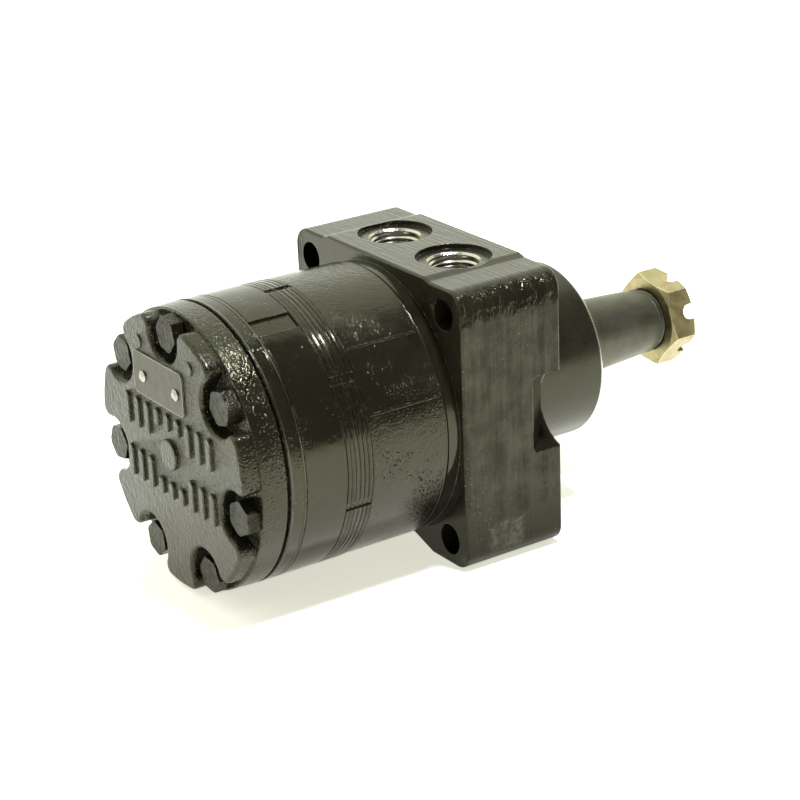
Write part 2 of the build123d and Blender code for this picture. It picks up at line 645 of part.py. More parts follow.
def make_shaft_key():
    """Round-ended parallel key in the taper."""
    bar = Plane.XZ.offset(-KEY_SEAT_Y - FIT) * Pos(KEY_CENTRE_X, 0) * SlotOverall(KEY_LENGTH, KEY_W)
    return extrude(bar, amount=-KEY_W)


def make_slotted_nut():
    """Slotted hexagon nut with chamfered corners at both ends and a slot in each flat."""
    hexagon = Rot(0, 0, NUT_TURN + 30) * RegularPolygon(NUT_AF / 2, 6, major_radius=False)
    nut = extrude(section(NUT_REAR_X, hexagon), amount=NUT_FRONT_X - NUT_REAR_X)
    corner_r = NUT_AF / math.sqrt(3)
    drop = (corner_r - NUT_AF / 2) * math.tan(math.radians(NUT_CHAMFER_ANGLE))
    nut &= turned((NUT_REAR_X, 0), (NUT_REAR_X, NUT_AF / 2), (NUT_REAR_X + drop, corner_r),
                  (NUT_FRONT_X - drop, corner_r), (NUT_FRONT_X, NUT_AF / 2), (NUT_FRONT_X, 0))
    nut -= turned((NUT_REAR_X, 0), (NUT_REAR_X, NUT_FACE_R), (NUT_REAR_X + 1, NUT_BORE_R),
                  (NUT_FRONT_X - 1, NUT_BORE_R), (NUT_FRONT_X, NUT_FACE_R), (NUT_FRONT_X, 0))
    half = SLOT_W / 2
    for i in range(6):
        floor = Pos(SLOT_BOTTOM_X + half, 0) * Circle(half)
        floor += Pos(SLOT_BOTTOM_X + half + 10, 0) * Rectangle(20, SLOT_W)
        cutter = extrude(Plane.XY * floor, amount=NUT_AF)
        nut -= Rot(NUT_TURN - 90 + 60 * i, 0, 0) * cutter
    return nut


def snap_x():
    """Rear station of the seal's retaining ring."""
    return SEAL_REAR_X - FIT - SNAP_T


def make_bearing_race(bearing):
    """Outer race of a roller bearing."""
    return ring(bearing["rear_x"], bearing["front_x"] - FIT, bearing["race_r"] - FIT, bearing["outer_r"])


def roller_places(bearing):
    """Centres of a bearing's rollers and the roller radius that just runs between shaft and race."""
    pitch_r = (bearing["inner_r"] + bearing["outer_r"]) / 2
    radius = (bearing["outer_r"] - bearing["inner_r"]) / 2 - SIDE_RUN
    step = 360 / bearing["count"]
    return [polar(pitch_r, i * step) for i in range(bearing["count"])], radius


def make_rollers(bearing):
    """All rollers of a bearing, as separate solids."""
    centres, radius = roller_places(bearing)
    x0, x1 = bearing["rear_x"] + ROLLER_INSET, bearing["front_x"] - ROLLER_INSET
    return [disc(x0, x1, radius, centre) for centre in centres]


def make_cage(bearing):
    """Roller cage: a ring with a window for each roller."""
    centres, radius = roller_places(bearing)
    pitch_r = (bearing["inner_r"] + bearing["outer_r"]) / 2
    x0, x1 = bearing["rear_x"] + CAGE_INSET, bearing["front_x"] - CAGE_INSET
    cage = ring(x0, x1, pitch_r + CAGE_HALF_T, pitch_r - CAGE_HALF_T)
    for centre in centres:
        x0, x1 = bearing["rear_x"] + ROLLER_INSET - CAGE_PLAY, bearing["front_x"] - ROLLER_INSET + CAGE_PLAY
        cage -= disc(x0, x1, radius + CAGE_PLAY, centre)
    return cage


def make_thrust_needles(x0, inner_r, outer_r, count):
    """Needles of a thrust bearing, lying radially in the gap that starts at x0."""
    middle, length = (inner_r + outer_r) / 2, outer_r - inner_r - 2 * NEEDLE_END_GAP
    needle = Cylinder(THRUST_GAP / 2 - FIT, length, rotation=(90, 0, 0))
    return [Rot(i * 360 / count, 0, 0) * Pos(x0 + THRUST_GAP / 2, middle, 0) * needle for i in range(count)]


def make_thrust_cage(x0, inner_r, outer_r, count):
    """Flat cage of a thrust bearing, with a window for each needle."""
    middle, length = (inner_r + outer_r) / 2, outer_r - inner_r - 2 * NEEDLE_END_GAP
    centre_x = x0 + THRUST_GAP / 2
    cage = ring(centre_x - THRUST_CAGE_T / 2, centre_x + THRUST_CAGE_T / 2, outer_r - 0.3, inner_r + 0.3)
    window = Cylinder(THRUST_GAP / 2 - FIT + CAGE_PLAY, length + 2 * CAGE_PLAY, rotation=(90, 0, 0))
    for i in range(count):
        cage -= Rot(i * 360 / count, 0, 0) * Pos(centre_x, middle, 0) * window
    return cage


def make_shaft_seal():
    """Pressure seal: rubber ring with a lip on the shaft and a hollow towards the pressure side."""
    x0, x1 = SEAL_REAR_X, SEAL_REAR_X + SEAL_T
    outer, lip = SEAL_BORE_R - FIT, SEAL_LAND_R + SIDE_RUN
    return turned((x0, outer), (x1, outer), (x1, lip + LIP_T + 1), (x0 + LIP_T + 1, lip), (x0 + LIP_T, lip),
                  (x0, lip + LIP_T), (x1 - 2 * SHELL_T, lip + 2 * LIP_T + 1),
                  (x1 - 2 * SHELL_T, outer - SHELL_T),
                  (x0, outer - SHELL_T))


def make_dust_seal():
    """Outer dust seal in the pilot's nose."""
    x0, x1 = PILOT_FRONT_X - DUST_SEAL_T, PILOT_FRONT_X - DUST_SEAL_INSET
    outer, lip = NOSE_BORE_R - FIT, DUST_LIP_R
    return turned((x0, outer), (x1, outer), (x1, outer - SHELL_T), (x1 - LIP_T, outer - 2 * SHELL_T),
                  (x1 - LIP_T, lip + LIP_T), (x1, lip + DUST_LIP_EDGE_T), (x1, lip),
                  (x0 + DUST_LIP_RUNOUT, lip), (x0, lip + DUST_LIP_RUNOUT))


def build_nodes():
    """Every sub-part by name; a list is a group of separate solids in one node."""
    front_thrust_x = BARREL_FRONT_X + THRUST_WASHER_T
    rear_thrust_x = BARREL_REAR_X - REAR_WASHER_T - THRUST_GAP
    front_thrust = (front_thrust_x, FRONT_THRUST_INNER_R, FRONT_THRUST_OUTER_R, FRONT_THRUST_COUNT)
    rear_thrust = (rear_thrust_x, REAR_THRUST_INNER_R, REAR_THRUST_OUTER_R, REAR_THRUST_COUNT)
    front_washer_x = front_thrust_x + THRUST_GAP
    backup_x = SEAL_REAR_X + SEAL_T
    front_radii = (FRONT_THRUST_OUTER_R, FRONT_THRUST_INNER_R)
    rear_radii = (REAR_THRUST_OUTER_R, REAR_THRUST_INNER_R)
    nodes = {
        "housing": make_housing(),
        "stator": make_stator(),
        "rotor": make_rotor(),
        "drive_link": make_drive_link(),
        "drive_link_spacer": make_drive_link_spacer(),
        "balance_plate": make_balance_plate(),
        "end_cover": make_end_cover(),
        "cover_bolts": [make_cover_bolt(a, t) for a, t in zip(bolt_angles(), BOLT_TURNS)],
        "nameplate": make_nameplate(),
        "nameplate_screws": [make_nameplate_screw(y) for y in SCREW_Y],
        "output_shaft": make_output_shaft(),
        "shaft_key": make_shaft_key(),
        "slotted_nut": make_slotted_nut(),
        "front_bearing_race": make_bearing_race(FRONT_BEARING),
        "front_bearing_rollers": make_rollers(FRONT_BEARING),
        "front_bearing_cage": make_cage(FRONT_BEARING),
        "rear_bearing_race": make_bearing_race(REAR_BEARING),
        "rear_bearing_rollers": make_rollers(REAR_BEARING),
        "rear_bearing_cage": make_cage(REAR_BEARING),
        "front_thrust_washer_shaft": ring(BARREL_FRONT_X + FIT, front_thrust_x, *front_radii),
        "front_thrust_needles": make_thrust_needles(*front_thrust),
        "front_thrust_cage": make_thrust_cage(*front_thrust),
        "front_thrust_washer_housing": ring(front_washer_x, THRUST_BORE_FRONT_X - FIT, *front_radii),
        "rear_thrust_washer_shaft": ring(BARREL_REAR_X - REAR_WASHER_T, BARREL_REAR_X - FIT, *rear_radii),
        "rear_thrust_needles": make_thrust_needles(*rear_thrust),
        "rear_thrust_cage": make_thrust_cage(*rear_thrust),
        "rear_thrust_washer_plate": ring(HOUSING_REAR_X + FIT, rear_thrust_x, *rear_radii),
        "shaft_seal": make_shaft_seal(),
        "seal_backup_ring": ring(backup_x + FIT, backup_x + BACKUP_T, SEAL_BORE_R - FIT, BACKUP_INNER_R),
        "seal_snap_ring": ring(snap_x() + FIT, snap_x() + SNAP_T, SNAP_OUTER_R, SNAP_INNER_R),
        "dust_seal": make_dust_seal(),
        "body_seal_cover": body_seal(COVER_JOINT_X, 1),
        "body_seal_balance_plate": body_seal(STATOR_REAR_X, -1),
        "body_seal_stator": body_seal(PLATES_REAR_X, 1),
        "body_seal_housing": body_seal(HOUSING_REAR_X, 1),
    }
    for index in range(1, PLATE_COUNT + 1):
        nodes[f"manifold_plate_{index}"] = make_manifold_plate(index)
    for index, centre in enumerate(roll_centres(), start=1):
        nodes[f"stator_roll_{index}"] = make_roll(centre)
    return nodes


os.makedirs("parts", exist_ok=True)
for name, shape in build_nodes().items():
    solids = shape if isinstance(shape, list) else [shape]
    export_step(Compound(children=solids) if len(solids) > 1 else solids[0], f"parts/{name}.step")
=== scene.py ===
import json
import math

import bpy
from mathutils import Matrix, Vector


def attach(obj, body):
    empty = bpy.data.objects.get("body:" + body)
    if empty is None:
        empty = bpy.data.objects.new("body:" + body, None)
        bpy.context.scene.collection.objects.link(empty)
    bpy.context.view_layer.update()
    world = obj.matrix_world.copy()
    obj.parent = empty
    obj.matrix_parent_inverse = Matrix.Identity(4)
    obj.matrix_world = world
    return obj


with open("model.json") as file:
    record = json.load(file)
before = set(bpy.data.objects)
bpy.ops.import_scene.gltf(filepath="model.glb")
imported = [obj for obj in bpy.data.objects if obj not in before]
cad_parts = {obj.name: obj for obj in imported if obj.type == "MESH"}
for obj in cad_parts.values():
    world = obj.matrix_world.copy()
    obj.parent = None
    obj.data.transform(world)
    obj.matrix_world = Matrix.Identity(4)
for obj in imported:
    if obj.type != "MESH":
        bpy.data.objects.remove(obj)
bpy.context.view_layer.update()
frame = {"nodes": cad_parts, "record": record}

MM = 0.001

# ---- camera: the viewing angle, in the frame's own axes ----
CAMERA_TARGET = Vector((-40.0, 2.05, -6.25)) * MM
CAMERA_AZIMUTH = -33.476
CAMERA_ELEVATION = 21.74
CAMERA_ROLL = -2.317
CAMERA_DISTANCE = 1041.57 * MM
CAMERA_LENS = 103.354
SENSOR = 36.0
CLIP_END = 30

# ---- floor: the motor stands on the flange's rear bottom edge and the rear cover's rim ----
STAND_FRONT = (-52.3 * MM, -64.1 * MM)
STAND_REAR = (-138.35 * MM, -63.04 * MM)
FLOOR_HALF = 9.0
FLOOR_COLOUR = (0.86, 0.86, 0.85, 1)
FLOOR_GLOW_COLOUR = (1, 1, 0.86, 1)
FLOOR_GLOW = 0.66

# ---- light: a backdrop that is dim and warm in front and bright behind, and one small lamp ----
BACKDROP_LEAN = -0.35
BACKDROP = (
    (0.0, (0.13, 0.115, 0.09)),
    (0.325, (0.16, 0.14, 0.105)),
    (0.425, (1.40, 1.42, 1.22)),
    (0.62, (1.42, 1.45, 1.22)),
    (0.80, (1.55, 1.58, 1.36)),
)
LAMP_PLACE = Vector((0.12, -0.36, 1.62))
LAMP_TARGET = Vector((-0.06, 0, 0))
LAMP_SIZE = 0.18
LAMP_POWER = 34
LAMP_COLOUR = (1, 1, 1.08)

# ---- where the finishes change, mm in the frame's axes: masks, so up to 0.1 off the CAD's edges ----
PORTS = ((-25.4, 22.8), (-25.4, -22.8))
PORT_BORE_R, PORT_THREAD_R = 11.1, 10.05
PORT_FACE_Z = 63.45
PORT_SEAT_R = 12.1
SPOTFACE_R = 17.0
FLANGE_REAR_X = -52.4
TURNED_BAND_X = -55.3
TURNED_BAND_HALF = 3.0
BAND_BEAD_X = -59.0
RUBBED_PATCH_X, RUBBED_PATCH_Z = -31.0, -51.0
BALANCE_PLATE_BEADS_X = (-137.7, -131.2)
# Crowns in the paint over the thin plates. They don't line up with the CAD's plates, which go from
# -97.5 to -110.18 with a pitch of 2.11.
CROWNS_FRONT_X, CROWNS_REAR_X = -94.0, -110.2
CROWN_PITCH = 16.18 / 6

# ---- paint and metal colours ----
PAINT = (0.0085, 0.0078, 0.0048)
PAINT_WORN = (0.017, 0.0165, 0.0105)
# pale paint: rubbed paint on the flange's side, and painted light on the upper half of its side reliefs
PAINT_RUBBED_AND_LIT = (0.062, 0.064, 0.042)
PAINT_SPECK = (0.24, 0.23, 0.16)
PAINT_TINT = (0.98, 1.0, 0.68)
BARE_EDGE = (0.34, 0.33, 0.27)
BARE_DARK, BARE_LIGHT = (0.40, 0.39, 0.34), (0.66, 0.65, 0.59)

# ---- threads in the ports: mm, with the ridge's half widths as fractions of the pitch ----
THREAD_PITCH = 25.4 / 14
THREAD_TOP_Z = 62.2
THREAD_TURNS = 9
STEPS_PER_TURN = 64
THREAD_FADE_TURNS = 0.4
THREAD_HALF_ROOT = 0.48
THREAD_HALF_CREST = 0.07
THREAD_SINK = 0.02


# ---------------------------------------------------------------- camera, floor, light
def make_camera():
    az, el, roll = (math.radians(v) for v in (CAMERA_AZIMUTH, CAMERA_ELEVATION, CAMERA_ROLL))
    back = Vector((math.sin(az) * math.cos(el), -math.cos(az) * math.cos(el), math.sin(el)))
    right = Vector((0, 0, 1)).cross(back).normalized()
    up = back.cross(right)
    right_rolled = right * math.cos(roll) + up * math.sin(roll)
    up_rolled = -right * math.sin(roll) + up * math.cos(roll)
    data = bpy.data.cameras.new("camera")
    data.lens = CAMERA_LENS
    data.sensor_width = SENSOR
    data.clip_end = CLIP_END
    camera = bpy.data.objects.new("camera", data)
    bpy.context.scene.collection.objects.link(camera)
    basis = Matrix((right_rolled, up_rolled, back)).transposed().to_4x4()
    camera.matrix_world = Matrix.Translation(CAMERA_TARGET + back * CAMERA_DISTANCE) @ basis
    bpy.context.scene.camera = camera


def mesh_object(name, vertices, faces):
    mesh = bpy.data.meshes.new(name)
    mesh.from_pydata(vertices, [], faces)
    mesh.update()
    obj = bpy.data.objects.new(name, mesh)
    bpy.context.scene.collection.objects.link(obj)
    return obj


def make_floor():
    """A wide plane through the two lines the motor stands on."""
    slope = (STAND_FRONT[1] - STAND_REAR[1]) / (STAND_FRONT[0] - STAND_REAR[0])
    corners = []
    for x, y in ((-1, -1), (1, -1), (1, 1), (-1, 1)):
        x, y = x * FLOOR_HALF, y * FLOOR_HALF
        corners.append((x, y, STAND_FRONT[1] + (x - STAND_FRONT[0]) * slope))
    floor = mesh_object("floor", corners, [(0, 1, 2, 3)])
    material = bpy.data.materials.new("floor_white")
    material.use_nodes = True
    shader = material.node_tree.nodes["Principled BSDF"]
    shader.inputs["Base Color"].default_value = FLOOR_COLOUR
    shader.inputs["Roughness"].default_value = 0.7
    shader.inputs["Emission Color"].default_value = FLOOR_GLOW_COLOUR
    shader.inputs["Emission Strength"].default_value = FLOOR_GLOW
    shader.inputs["Specular IOR Level"].default_value = 0.2
    floor.data.materials.append(material)


def make_world():
    """A bright backdrop behind the motor that ends overhead, and a dim warm room in front of it."""
    world = bpy.data.worlds.new("studio")
    world.use_nodes = True
    bpy.context.scene.world = world
    nodes, links = world.node_tree.nodes, world.node_tree.links
    nodes.clear()
    coord = nodes.new("ShaderNodeTexCoord")
    split = nodes.new("ShaderNodeSeparateXYZ")
    lean = nodes.new("ShaderNodeMath")
    ramp = nodes.new("ShaderNodeValToRGB")
    back = nodes.new("ShaderNodeBackground")
    out = nodes.new("ShaderNodeOutputWorld")
    links.new(coord.outputs["Generated"], split.inputs[0])
    lean.operation = "MULTIPLY_ADD"
    links.new(split.outputs["Z"], lean.inputs[0])
    lean.inputs[1].default_value = BACKDROP_LEAN
    links.new(split.outputs["Y"], lean.inputs[2])
    scale = nodes.new("ShaderNodeMapRange")
    scale.inputs["From Min"].default_value = -1.0
    links.new(lean.outputs[0], scale.inputs["Value"])
    links.new(scale.outputs[0], ramp.inputs["Fac"])
    ramp.color_ramp.interpolation = "EASE"
    for k, (at, colour) in enumerate(BACKDROP):
        stop = ramp.color_ramp.elements[k] if k < 2 else ramp.color_ramp.elements.new(at)
        stop.position = at
        stop.color = (*colour, 1)
    links.new(ramp.outputs["Color"], back.inputs["Color"])
    links.new(back.outputs[0], out.inputs[0])


def make_lamp():
    """The small lamp overhead that makes the sparkles in the paint."""
    data = bpy.data.lights.new("softbox_top", "AREA")
    data.shape = "RECTANGLE"
    data.size = data.size_y = LAMP_SIZE
    data.energy = LAMP_POWER
    data.color = LAMP_COLOUR
    light = bpy.data.objects.new("softbox_top", data)
    bpy.context.scene.collection.objects.link(light)
    light.location = LAMP_PLACE
    light.rotation_euler = (LAMP_TARGET - LAMP_PLACE).to_track_quat("-Z", "Y").to_euler()


# ---------------------------------------------------------------- material kit
class Shading:
    """A node tree under construction, with a one-line call for each kind of node."""

    def __init__(self, name):
        self.material = bpy.data.materials.new(name)
        self.material.use_nodes = True
        self.tree = self.material.node_tree
        self.shader = self.tree.nodes["Principled BSDF"]
        self.coord = self.tree.nodes.new("ShaderNodeTexCoord").outputs["Object"]

    def add(self, kind, **settings):
        node = self.tree.nodes.new(kind)
        for key, value in settings.items():
            setattr(node, key, value)
        return node

    def put(self, socket, value):
        """Link a socket, or set a number or a colour on the input itself."""
        if isinstance(value, bpy.types.NodeSocket):
            self.tree.links.new(value, socket)
        elif isinstance(value, tuple) and len(value) == 3 and socket.type == "RGBA":
            socket.default_value = (*value, 1)
        else:
            socket.default_value = value

    def set(self, **values):
        """Give the shader's inputs, with _ for the spaces in their names."""
        for key, value in values.items():
            self.put(self.shader.inputs[key.replace("_", " ")], value)

    def math(self, operation, a, b=0.0):
        node = self.add("ShaderNodeMath", operation=operation)
        self.put(node.inputs[0], a)
        self.put(node.inputs[1], b)
        return node.outputs[0]

    def times(self, first, *others):
        for other in others:
            first = self.math("MULTIPLY", first, other)
        return first

    def away(self, place, centre):
        """Distance in metres of a coordinate from a place given in mm."""
        return self.math("ABSOLUTE", self.math("SUBTRACT", place, centre * MM))

    def noise(self, scale, detail=2.0, rough=0.5, stretch=None, distort=0.0):
        """Noise from 0 to 1; scale is in features per metre, and a small stretch draws an axis out."""
        node = self.add("ShaderNodeTexNoise")
        self.put(node.inputs["Vector"], self.stretched(stretch))
        node.inputs["Scale"].default_value = scale
        node.inputs["Detail"].default_value = detail
        node.inputs["Roughness"].default_value = rough
        node.inputs["Distortion"].default_value = distort
        return node.outputs["Fac"]

    def dots(self, scale, edge, centre):
        """Round dots, one to a cell of 1 / scale metres: 1 at centre, 0 at edge, both in cells."""
        node = self.add("ShaderNodeTexVoronoi", feature="F1")
        self.put(node.inputs["Vector"], self.coord)
        node.inputs["Scale"].default_value = scale
        return self.range(node.outputs["Distance"], edge, centre)

    def stretched(self, stretch):
        if stretch is None:
            return self.coord
        node = self.add("ShaderNodeVectorMath", operation="MULTIPLY")
        self.put(node.inputs[0], self.coord)
        node.inputs[1].default_value = stretch
        return node.outputs[0]

    def axes(self):
        node = self.add("ShaderNodeSeparateXYZ")
        self.put(node.inputs[0], self.coord)
        return node.outputs["X"], node.outputs["Y"], node.outputs["Z"]

    def range(self, value, lo, hi, to_lo=0.0, to_hi=1.0):
        """Smooth step from to_lo at lo to to_hi at hi, where lo may be the larger."""
        node = self.add("ShaderNodeMapRange", interpolation_type="SMOOTHSTEP")
        self.put(node.inputs["Value"], value)
        for key, number in (("From Min", lo), ("From Max", hi), ("To Min", to_lo), ("To Max", to_hi)):
            self.put(node.inputs[key], number)
        return node.outputs[0]

    def step(self, place, lo, hi, to_lo=0.0, to_hi=1.0):
        """The same along a coordinate or a distance, from lo to hi in mm."""
        return self.range(place, lo * MM, hi * MM, to_lo, to_hi)

    def blend(self, factor, a, b, kind="FLOAT"):
        """a to b by the factor, or plain a where the factor is the number 0."""
        if factor == 0.0:
            return a
        node = self.add("ShaderNodeMix", data_type=kind)
        self.put(node.inputs["Factor"], factor)
        self.put(node.inputs["A"], a)
        self.put(node.inputs["B"], b)
        return node.outputs["Result"]

    def mix(self, factor, a, b):
        """The same for colours."""
        return self.blend(factor, a, b, "RGBA")

    def bevel(self, radius):
        """Normal that rounds edges off by a radius in mm."""
        node = self.add("ShaderNodeBevel", samples=4)
        node.inputs["Radius"].default_value = radius * MM
        return node.outputs["Normal"]

    def edges(self, radius, low, high):
        """1 within about a radius in mm of an edge, 0 on flats; low and high are cosines."""
        flat = self.add("ShaderNodeNewGeometry").outputs["Normal"]
        dot = self.add("ShaderNodeVectorMath", operation="DOT_PRODUCT")
        self.put(dot.inputs[0], self.bevel(radius))
        self.put(dot.inputs[1], flat)
        return self.range(dot.outputs["Value"], high, low)

    def bump(self, height, distance, strength=1.0, normal=None):
        """Relief over a normal: height goes from 0 to 1 for a distance in mm."""
        node = self.add("ShaderNodeBump")
        node.inputs["Distance"].default_value = distance * MM
        self.put(node.inputs["Strength"], strength)
        self.put(node.inputs["Height"], height)
        if normal is not None:
            self.put(node.inputs["Normal"], normal)
        return node.outputs["Normal"]


# ---------------------------------------------------------------- black enamel
class Coat:
    """What a zone function hands to paint(), each a number or a socket.

    grain and nibs are strengths of relief, bare shows metal, pale lightens, dull roughens, matte
    takes reflection away, specks are pale dots, and relief lists (height, distance, strength).
    """

    def __init__(self, grain=1.0, nibs=0.0, bare=0.0, relief=(),
                 pale=0.0, dull=0.0, matte=0.0, specks=0.12):
        self.grain, self.nibs, self.bare, self.relief = grain, nibs, bare, relief
        self.pale, self.dull, self.matte, self.specks = pale, dull, matte, specks


def paint(name, zones, grain, peel, gloss, wear=0.5, edge=0.5, shine=0.5):
    """Glossy black enamel over metal: grain, peel and edge are in mm, gloss is its least roughness."""
    s = Shading(name)
    coat = zones(s)
    normal = s.bevel(edge)
    normal = s.bump(s.noise(60, 1, 0.4), 0.5 * peel, 1.0, normal)
    normal = s.bump(s.noise(210, 2, 0.5), peel, 1.0, normal)
    normal = s.bump(s.noise(480, 2, 0.55), 0.5 * grain, coat.grain, normal)
    normal = s.bump(s.noise(1150, 2, 0.6), 0.4 * grain, coat.grain, normal)
    for scale, height in ((520, 0.34), (900, 0.19)):
        normal = s.bump(s.dots(scale, 0.38, 0.0), height, coat.nibs, normal)
    for height, distance, strength in coat.relief:
        normal = s.bump(height, distance, strength, normal)

    dust = s.range(s.noise(28, 4, 0.6), 0.40, 0.75)
    patches = s.range(s.noise(70, 2), 0.50, 0.60)
    specks = s.times(s.dots(360, 0.15, 0.07), patches, coat.specks)
    scuff = s.range(s.noise(420, 4, 0.7), 0.50, 0.62)
    worn = s.times(s.edges(edge, 0.80, 0.985), scuff, wear)
    metal = s.mix(s.noise(600, 3, 0.6), BARE_DARK, BARE_LIGHT)
    colour = s.mix(dust, PAINT, PAINT_WORN)
    # pale: rubbed paint, and painted light and painted shade on the flange's side reliefs
    colour = s.mix(coat.pale, colour, PAINT_RUBBED_AND_LIT)
    colour = s.mix(specks, colour, PAINT_SPECK)
    colour = s.mix(worn, colour, BARE_EDGE)
    colour = s.mix(coat.bare, colour, metal)

    rough = s.range(s.noise(75, 3, 0.6), 0.3, 0.7, gloss, gloss + 0.08)
    rough = s.blend(coat.dull, rough, 0.55)
    rough = s.blend(coat.bare, rough, 0.22)
    s.set(Base_Color=colour, Roughness=rough, Normal=normal, Metallic=coat.bare)
    s.set(Specular_IOR_Level=s.blend(coat.matte, shine, 0.0), Specular_Tint=PAINT_TINT)
    return s.material


def port_zones(s, x, y, z):
    """Masks of the two bare port bores, and the turning marks on the spotfaces round them."""
    bores, marks = [], []
    for port_x, port_y in PORTS:
        dx = s.math("SUBTRACT", x, port_x * MM)
        dy = s.math("SUBTRACT", y, port_y * MM)
        r = s.math("SQRT", s.math("ADD", s.times(dx, dx), s.times(dy, dy)))
        low = s.step(z, PORT_FACE_Z + 0.1, PORT_FACE_Z - 0.1)
        bores.append(s.times(s.step(r, PORT_SEAT_R + 0.05, PORT_SEAT_R - 0.1), low))
        turned = s.math("SINE", s.times(r, 2 * math.pi / (0.5 * MM)))
        spotface = s.times(s.step(r, SPOTFACE_R, SPOTFACE_R - 0.1), s.step(z, 64.2, 63.8))
        marks.append((turned, 0.012, spotface))
    return bores, marks


def pocket_zone(s, x, outer, z):
    """1 in the relief cut into either side of the flange, by its mounting face."""
    across = s.times(s.step(outer, 64.9, 64.6), s.step(outer, 49.0, 51.0))
    along = s.times(s.step(x, -0.5, -0.9), s.step(x, -17.0, -16.0))
    return s.times(across, along, s.step(s.math("ABSOLUTE", z), 22.0, 21.5))


def rubbed_zone(s, x, y, z):
    """Ragged patch low on the flange's side, where the paint is rubbed."""
    ragged = s.times(s.noise(160, 3, 0.6), 6.0 * MM)
    across = s.math("ADD", s.away(x, RUBBED_PATCH_X), ragged)
    along = s.math("ADD", s.away(z, RUBBED_PATCH_Z), ragged)
    patch = s.times(s.step(across, 14.0, 10.5), s.step(along, 10.5, 8.0), s.step(y, -62.0, -64.0))
    return s.times(patch, s.range(s.noise(420, 4, 0.7), 0.30, 0.62))


def housing_zones(s):
    """Rough on the casting, smooth on pad, pilot and turned band, runs below the corner, bare ports."""
    x, y, z = s.axes()
    outer = s.math("ABSOLUTE", y)
    on_flange = s.step(x, FLANGE_REAR_X - 0.2, FLANGE_REAR_X + 0.2)
    flank = s.times(s.step(outer, 56.0, 62.0), on_flange)
    pocket = pocket_zone(s, x, outer, z)
    rubbed = rubbed_zone(s, x, y, z)
    bores, marks = port_zones(s, x, y, z)

    cast = s.blend(on_flange, s.range(s.noise(38, 3, 0.5), 0.38, 0.60, 0.45, 1.05), 0.22)
    pilot = s.step(x, -0.2, 0.4, 1.0, 0.06)
    pad = s.step(z, 62.5, 64.0, 1.0, 0.12)
    band = s.step(s.away(x, TURNED_BAND_X), TURNED_BAND_HALF, TURNED_BAND_HALF + 0.6, 0.10, 1.0)
    grain = s.times(pilot, pad, band, cast)
    patches = s.range(s.noise(60, 3, 0.6), 0.44, 0.62, 0.0, 1.5)
    nibs = s.times(grain, patches, s.step(z, 52.0, 42.0))

    bead = s.step(s.away(x, BAND_BEAD_X), 1.1, 0.0)
    sag_edge = s.math("ADD", z, s.times(s.noise(190, 3, 0.6, stretch=(1, 1, 0.3)), 9.0 * MM))
    sag = s.step(sag_edge, 69.0, 52.0)
    runs = s.times(flank, s.step(z, 45.0, 52.0), s.step(z, 63.5, 60.0))
    streaks = s.noise(520, 3, 0.6, stretch=(1, 1, 0.12))
    blots = s.noise(330, 3, 0.6)
    strokes = s.noise(620, 3, 0.6, stretch=(1, 0.09, 1))
    scrapes = s.noise(800, 3, 0.6, stretch=(1, 1, 0.05))
    relief = marks + [
        (bead, 0.45, 1.0),
        (sag, 3.0, flank),
        (streaks, 0.18, runs),
        (blots, 0.14, runs),
        (strokes, 0.30, s.step(z, 61.0, 63.0)),
        (scrapes, 0.10, flank),
    ]

    bare = s.step(x, 41.9, 42.3, 0.0, 0.85)
    for bore in bores:
        bare = s.math("MAXIMUM", bare, bore)
    satin = s.math("MAXIMUM", s.step(x, 0.2, 1.0, 0.0, 0.30), pocket)
    drag = s.range(s.noise(260, 4, 0.65, stretch=(1, 1, 0.06)), 0.34, 0.66, 0.0, 0.30)
    smear = s.range(s.noise(95, 5, 0.7), 0.36, 0.64, 0.0, 0.34)
    matte = s.times(flank, s.math("ADD", drag, smear))
    # less reflection towards the bottom: painted shade of the floor under the motor
    matte = s.math("MAXIMUM", matte, s.step(z, -12.0, -62.0, 0.0, 0.6))
    return Coat(
        grain=s.math("MAXIMUM", grain, pocket),
        nibs=nibs,
        bare=bare,
        relief=relief,
        # side reliefs pale in their upper half and dark in their lower half: painted light and painted
        # shade
        pale=s.math("MAXIMUM", rubbed, s.times(pocket, s.step(z, -6.0, 6.0, 0.08, 1.0))),
        dull=s.math("MAXIMUM", s.times(rubbed, 0.4), satin),
        matte=s.math("MAXIMUM", matte, pocket),
        specks=s.times(flank, 0.5),
    )


def cover_zones(s):
    """Coarse sand-cast skin: wetter and rougher on the wall than on the front."""
    x, _, _ = s.axes()
    wall = s.step(x, -159.0, -157.5)
    ridge = s.noise(330, 3, 0.6, distort=0.6)
    wet = s.range(s.noise(45, 3, 0.6), 0.36, 0.56, 0.35, 1.0)
    return Coat(
        grain=s.blend(wall, 0.80, 0.34),
        nibs=s.blend(wall, 0.35, wet),
        relief=[(ridge, 0.30, s.blend(wall, 0.7, 0.42))],
    )


def steel_zones(s):
    """Smooth skin with thick paint in places, crowns over the plates, beads by the rims of one band."""
    x, _, z = s.axes()
    drop = s.range(s.noise(55, 3, 0.6), 0.50, 0.66)
    lumps = s.noise(480, 3, 0.6, stretch=(1, 0.4, 0.4))
    turns = s.times(s.math("SUBTRACT", x, CROWNS_FRONT_X * MM), math.pi / (CROWN_PITCH * MM))
    crown = s.math("SQRT", s.math("ABSOLUTE", s.math("SINE", turns)))
    rear = s.step(x, CROWNS_REAR_X - 0.1, CROWNS_REAR_X + 0.1)
    front = s.step(x, CROWNS_FRONT_X + 0.1, CROWNS_FRONT_X - 0.1)
    relief = [(lumps, 0.20, drop), (crown, 0.22, s.times(rear, front))]
    for bead_x in BALANCE_PLATE_BEADS_X:
        relief.append((s.step(s.away(x, bead_x), 0.9, 0.0), 0.30, 1.0))
    thick = s.times(drop, 0.5)
    # matte: less reflection towards the bottom, painted shade of the floor under the motor
    return Coat(grain=thick, nibs=thick, relief=relief, matte=s.step(z, -5.0, -60.0, 0.0, 0.6))


